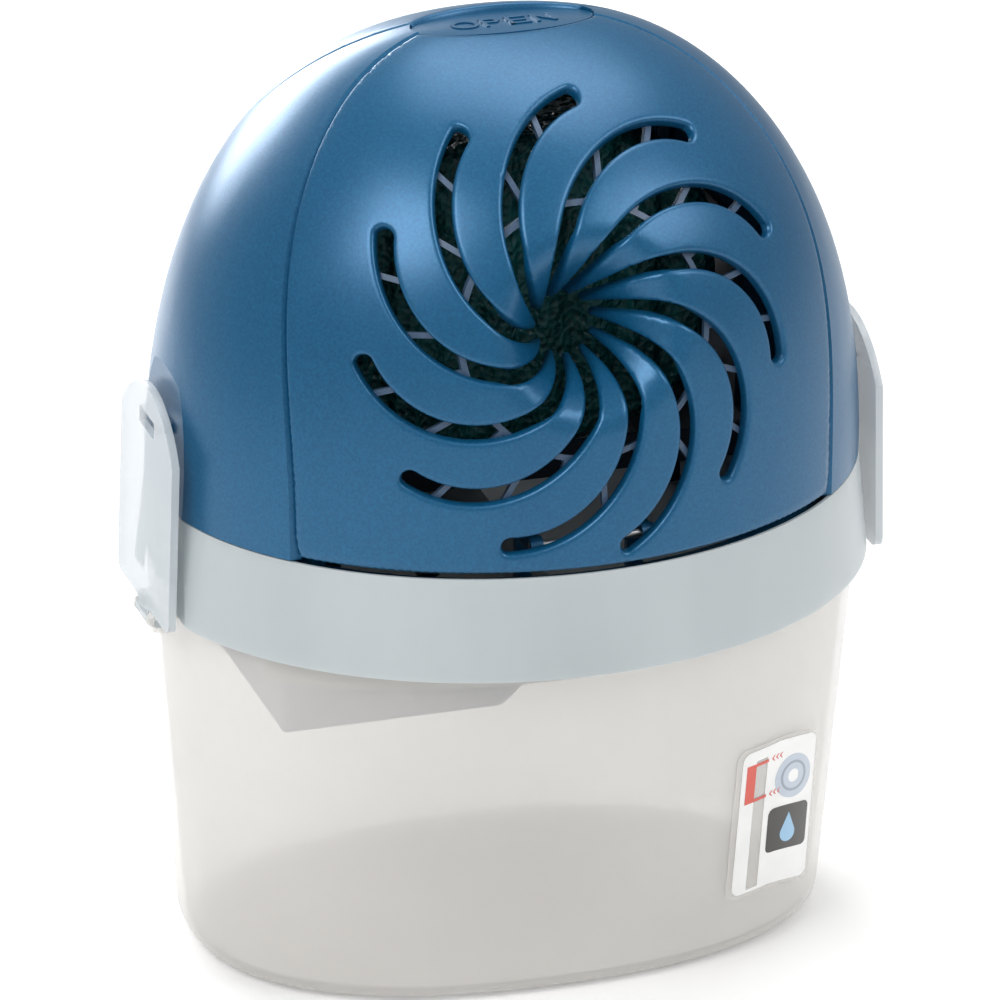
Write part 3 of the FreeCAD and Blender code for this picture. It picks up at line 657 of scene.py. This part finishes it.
def tank_point(turn, z):
    """Point of the tank's outer wall at a turn from +X towards the front and a height."""
    share = z / COLLAR_BOTTOM_Z
    c, sn = math.cos(turn), math.sin(turn)
    out = []
    for half_x, half_y, power in (TANK_FOOT, TANK_LIP):
        out.append((half_x * c ** (2 / power), half_y * sn ** (2 / power)))
    x = out[0][0] * (1 - share) + out[1][0] * share
    y = out[0][1] * (1 - share) + out[1][1] * share
    return Vector((x, -y, z))


def on_tank(x, z, lift):
    """Point lift outside the tank's wall, at x on the front right; the film droops round the corner."""
    z -= DROOP * (max(x - DROOP_FROM_X, 0.0) / DROOP_OVER) ** DROOP_POWER
    low, high = 0.001, math.pi / 2 - 0.001
    for _ in range(34):
        mid = (low + high) / 2
        low, high = (mid, high) if tank_point(mid, z).x > x else (low, mid)
    here = tank_point(low, z)
    along = tank_point(low + 0.002, z) - here
    rise = tank_point(low, z + 0.1) - here
    return here + along.cross(rise).normalized() * -lift


def rounded(x0, x1, z0, z1, r, steps=5):
    """Outline of a rectangle with rounded corners."""
    loop = []
    corners = ((x1 - r, z0 + r, -90), (x1 - r, z1 - r, 0), (x0 + r, z1 - r, 90), (x0 + r, z0 + r, 180))
    for cx, cz, start in corners:
        for i in range(steps + 1):
            t = math.radians(start + 90 * i / steps)
            loop.append((cx + r * math.cos(t), cz + r * math.sin(t)))
    return loop


def disc(cx, cz, r, steps=36):
    return [(cx + r * math.cos(2 * math.pi * i / steps), cz + r * math.sin(2 * math.pi * i / steps))
            for i in range(steps)]


def finely(loop, step=0.9):
    """The same outline with points close enough to follow the curved wall."""
    out = []
    for (x0, z0), (x1, z1) in zip(loop, loop[1:] + loop[:1]):
        count = max(1, math.ceil(math.hypot(x1 - x0, z1 - z0) / step))
        out += [(x0 + (x1 - x0) * i / count, z0 + (z1 - z0) * i / count) for i in range(count)]
    return out


def print_patch(name, parts, layer, material):
    """Thin closed patches on the tank's wall, each an outline with its holes."""
    low, high = layer
    verts, faces = [], []
    for outline, holes in parts:
        flat, tris, _ = sheet_mesh(finely(outline), [finely(hole) for hole in holes], [], 0.9)
        top = [on_tank(x, z, high) for x, z in flat]
        bottom = [on_tank(x, z, low) for x, z in flat]
        if surface_normals(top, tris)[:, 1].mean() > 0:
            tris = tris[:, ::-1]
        more_verts, more_faces = thick_sheet(top, bottom, tris)
        faces += [tuple(i + len(verts) for i in f) for f in more_faces]
        verts += more_verts
    place(new_object(name, verts, faces, material), "tank_unit", "label_film", "level_label")


def plain_material(name, colour, rough=0.3):
    material, nodes, links = new_material(name)
    shader = shader_of(nodes)
    soft = tuple(min(c * 1.06 + 0.004, 1.0) for c in colour)
    links.new(ramp(nodes, links, noise(nodes, links, 120, 2), colour, soft), shader.inputs["Base Color"])
    shader.inputs["Roughness"].default_value = rough
    return material


label_white = plain_material("label_white_ink", (0.86, 0.86, 0.85))
label_red = plain_material("label_red_ink", (0.68, 0.10, 0.07))
label_dark = plain_material("label_dark_ink", (0.035, 0.032, 0.03))
label_silver = plain_material("label_silver_ink", (0.50, 0.56, 0.64))
label_grey = plain_material("label_grey_ink", (0.30, 0.35, 0.42))
label_sky = plain_material("label_sky_ink", (0.30, 0.52, 0.72))
label_film = frosted_material("label_clear_film", (0.78, 0.76, 0.73), (0.82, 0.80, 0.77), 0.2, 0.35, 0.0)


def chevrons(x, z):
    """Three small arrow marks in a row, pointing left."""
    marks = []
    for i in range(3):
        left = x + 1.25 * i
        marks.append(([(left, z), (left + 0.75, z + 0.8), (left + 1.0, z + 0.8), (left + 0.45, z),
                       (left + 1.0, z - 0.8), (left + 0.75, z - 0.8)], []))
    return marks


def drop_outline(cx, cz, r):
    """Water drop: a round foot drawn up to a point."""
    loop = []
    for i in range(-7, 8):
        t = math.radians(-90 + i * 18)
        loop.append((cx + r * math.cos(t), cz + r * math.sin(t)))
    return loop + [(cx, cz + r * 2.3)]


def make_label():
    film = rounded(41.4, 69.0, 16.4, 60.2, 3.0)
    white = rounded(43.2, 68.0, 17.5, 59.0, 2.4)
    window = rounded(47.4, 50.9, 18.4, 56.0, 0.2, 1)
    bracket = [(44.6, 44.2), (51.2, 44.2), (51.2, 45.0), (47.4, 45.0), (47.4, 54.4), (51.2, 54.4),
               (51.2, 55.2), (44.6, 55.2)]
    marks = [(bracket, [])] + chevrons(52.2, 54.8) + chevrons(52.2, 44.6)
    ring = (60.2, 47.8)
    print_patch("label_film", [(film, [])], FILM_LAYER, label_film)
    print_patch("label_print", [(white, [window])], PRINT_LAYER, label_white)
    print_patch("label_red", marks, MARK_LAYER, label_red)
    print_patch("label_ring", [(disc(*ring, 6.3), [disc(*ring, 1.9)])], FIELD_LAYER, label_silver)
    print_patch("label_ring_groove", [(disc(*ring, 4.4), [disc(*ring, 3.7)])], TOP_LAYER, label_grey)
    print_patch("label_badge", [(rounded(52.6, 66.6, 26.8, 39.6, 1.6), [])], FIELD_LAYER, label_dark)
    print_patch("label_drop", [(drop_outline(59.6, 31.4, 2.6), [])], TOP_LAYER, label_sky)


make_label()


# ---- raised word on the pad and the coil under it ---------------------------------------------------
def pad_top(y):
    """Height of the pad's crowned top; it falls away to the back."""
    e = y - PAD_Y
    return 230.7 - 0.1391 * e + 0.00227 * e * e


LETTERS = {
    "P": [(-4.6, 0.8, -4.6, 7.0), (-4.6, 7.0, -1.6, 7.0), (-1.6, 7.0, -0.8, 5.6), (-0.8, 5.6, -1.6, 4.2),
          (-1.6, 4.2, -4.6, 4.2)],
    "E": [(1.8, 0.8, 1.8, 7.0), (1.8, 7.0, 6.0, 7.0), (1.8, 3.9, 5.4, 3.9), (1.8, 0.8, 6.0, 0.8)],
    "N": [(8.2, 0.8, 8.2, 7.0), (8.2, 7.0, 12.4, 0.8), (12.4, 0.8, 12.4, 7.0)],
}


def make_letters():
    """The word on the pad, each letter of straight raised strokes; the O is a ring of short ones."""
    strokes = [stroke for letter in LETTERS.values() for stroke in letter]
    turns = [math.pi * i / 10 for i in range(20)]
    ring = [(-9.4 + 2.9 * math.cos(t), 3.9 + 3.1 * math.sin(t)) for t in turns]
    strokes += [(*ring[i], *ring[(i + 1) % 20]) for i in range(20)]
    verts, faces = [], []
    half, sunk, raised = 0.48, 0.3, 0.35
    for x0, y0, x1, y1 in strokes:
        size = math.hypot(x1 - x0, y1 - y0)
        ux, uy = (x1 - x0) / size * half, (y1 - y0) / size * half
        corners = [(x0 - ux + uy, y0 - uy - ux), (x0 - ux - uy, y0 - uy + ux),
                   (x1 + ux - uy, y1 + uy + ux), (x1 + ux + uy, y1 + uy - ux)]
        n = len(verts)
        verts += [(x, y, pad_top(y) - sunk) for x, y in corners]
        verts += [(x, y, pad_top(y) + raised) for x, y in corners]
        faces += [(n + 3, n + 2, n + 1, n), (n + 4, n + 5, n + 6, n + 7)]
        faces += [(n + i, n + (i + 1) % 4, n + 4 + (i + 1) % 4, n + 4 + i) for i in range(4)]
    place(new_object("pad_word", verts, faces, blue, 30), "open_button", "housing_blue")


make_letters()


def make_coil():
    """Coil spring of round wire between the shelf and the pad."""
    turns, steps, sides, wire, radius = 5.5, 20, 8, 0.4, 3.25
    foot_z, rise = 219.1, 5.6
    verts, faces = [], []
    count = int(turns * steps)
    for i in range(count + 1):
        t = 2 * math.pi * i / steps
        z = foot_z + rise * i / count
        for k in range(sides):
            a = 2 * math.pi * k / sides
            r = radius + wire * math.cos(a)
            verts.append((r * math.cos(t), PAD_Y + 1.5 + r * math.sin(t), z + wire * math.sin(a)))
    for i in range(count):
        for k in range(sides):
            a, b = i * sides + k, i * sides + (k + 1) % sides
            faces.append((a, a + sides, b + sides, b))
    faces.append(tuple(range(sides)))
    faces.append(tuple(reversed(range(count * sides, (count + 1) * sides))))
    place(new_object("coil_spring", verts, faces, steel), "upper_unit", "steel", "button_spring")


make_coil()


# ---- camera, light and floor ------------------------------------------------------------------------
AIM_HEIGHT = 0.12
SKY_STRENGTH = 0.44
FLOOR_SIZE, FLOOR_DROP = 12, 0.0002


def add_camera():
    az, el, roll = VIEW_AZIMUTH, VIEW_ELEVATION, VIEW_ROLL
    back = Vector((math.sin(az) * math.cos(el), -math.cos(az) * math.cos(el), math.sin(el)))
    right = Vector((math.cos(az), math.sin(az), 0))
    up = back.cross(right)
    turned_right = right * math.cos(roll) + up * math.sin(roll)
    turned_up = up * math.cos(roll) - right * math.sin(roll)
    data = bpy.data.cameras.new("camera")
    data.sensor_width = SENSOR
    data.lens = FOCAL
    data.clip_end = 20.0
    camera = bpy.data.objects.new("camera", data)
    turn = Matrix((turned_right, turned_up, back)).transposed().to_4x4()
    camera.matrix_world = Matrix.Translation((VIEW_TARGET + back * VIEW_DISTANCE) * MM) @ turn
    bpy.context.scene.collection.objects.link(camera)
    bpy.context.scene.camera = camera


def add_area(name, azimuth, elevation, distance, size, power):
    """Soft rectangular light aimed at the middle of the object."""
    data = bpy.data.lights.new(name, "AREA")
    data.shape = "RECTANGLE"
    data.size, data.size_y = size
    data.energy = power
    light = bpy.data.objects.new(name, data)
    az, el = math.radians(azimuth), math.radians(elevation)
    aim = Vector((0, 0, AIM_HEIGHT))
    spot = Vector((math.sin(az) * math.cos(el), -math.cos(az) * math.cos(el), math.sin(el)))
    light.location = aim + spot * distance
    light.rotation_euler = spot.to_track_quat("Z", "Y").to_euler()
    bpy.context.scene.collection.objects.link(light)


def add_stage():
    world = bpy.data.worlds.new("studio")
    world.use_nodes = True
    sky = world.node_tree.nodes["Background"]
    sky.inputs["Color"].default_value = (1, 1, 1, 1)
    sky.inputs["Strength"].default_value = SKY_STRENGTH
    bpy.context.scene.world = world
    bpy.context.scene.view_settings.view_transform = "Standard"
    material, nodes, _ = new_material("floor")
    shader_of(nodes).inputs["Base Color"].default_value = (0.93, 0.93, 0.93, 1)
    shader_of(nodes).inputs["Roughness"].default_value = 0.7
    bpy.ops.mesh.primitive_plane_add(size=FLOOR_SIZE, location=(0, 0, -FLOOR_DROP))
    floor = bpy.context.object
    floor.name = "floor"
    floor.data.materials.append(material)


add_camera()
add_stage()
add_area("key_left", -58, 46, 0.9, (0.45, 0.5), 4.6)
add_area("fill_right", 52, 42, 1.0, (0.5, 0.5), 3.4)
add_area("top_back", 150, 66, 1.1, (0.8, 0.5), 5.0)
add_area("low_back", -168, 14, 0.8, (0.5, 0.3), 5.0)
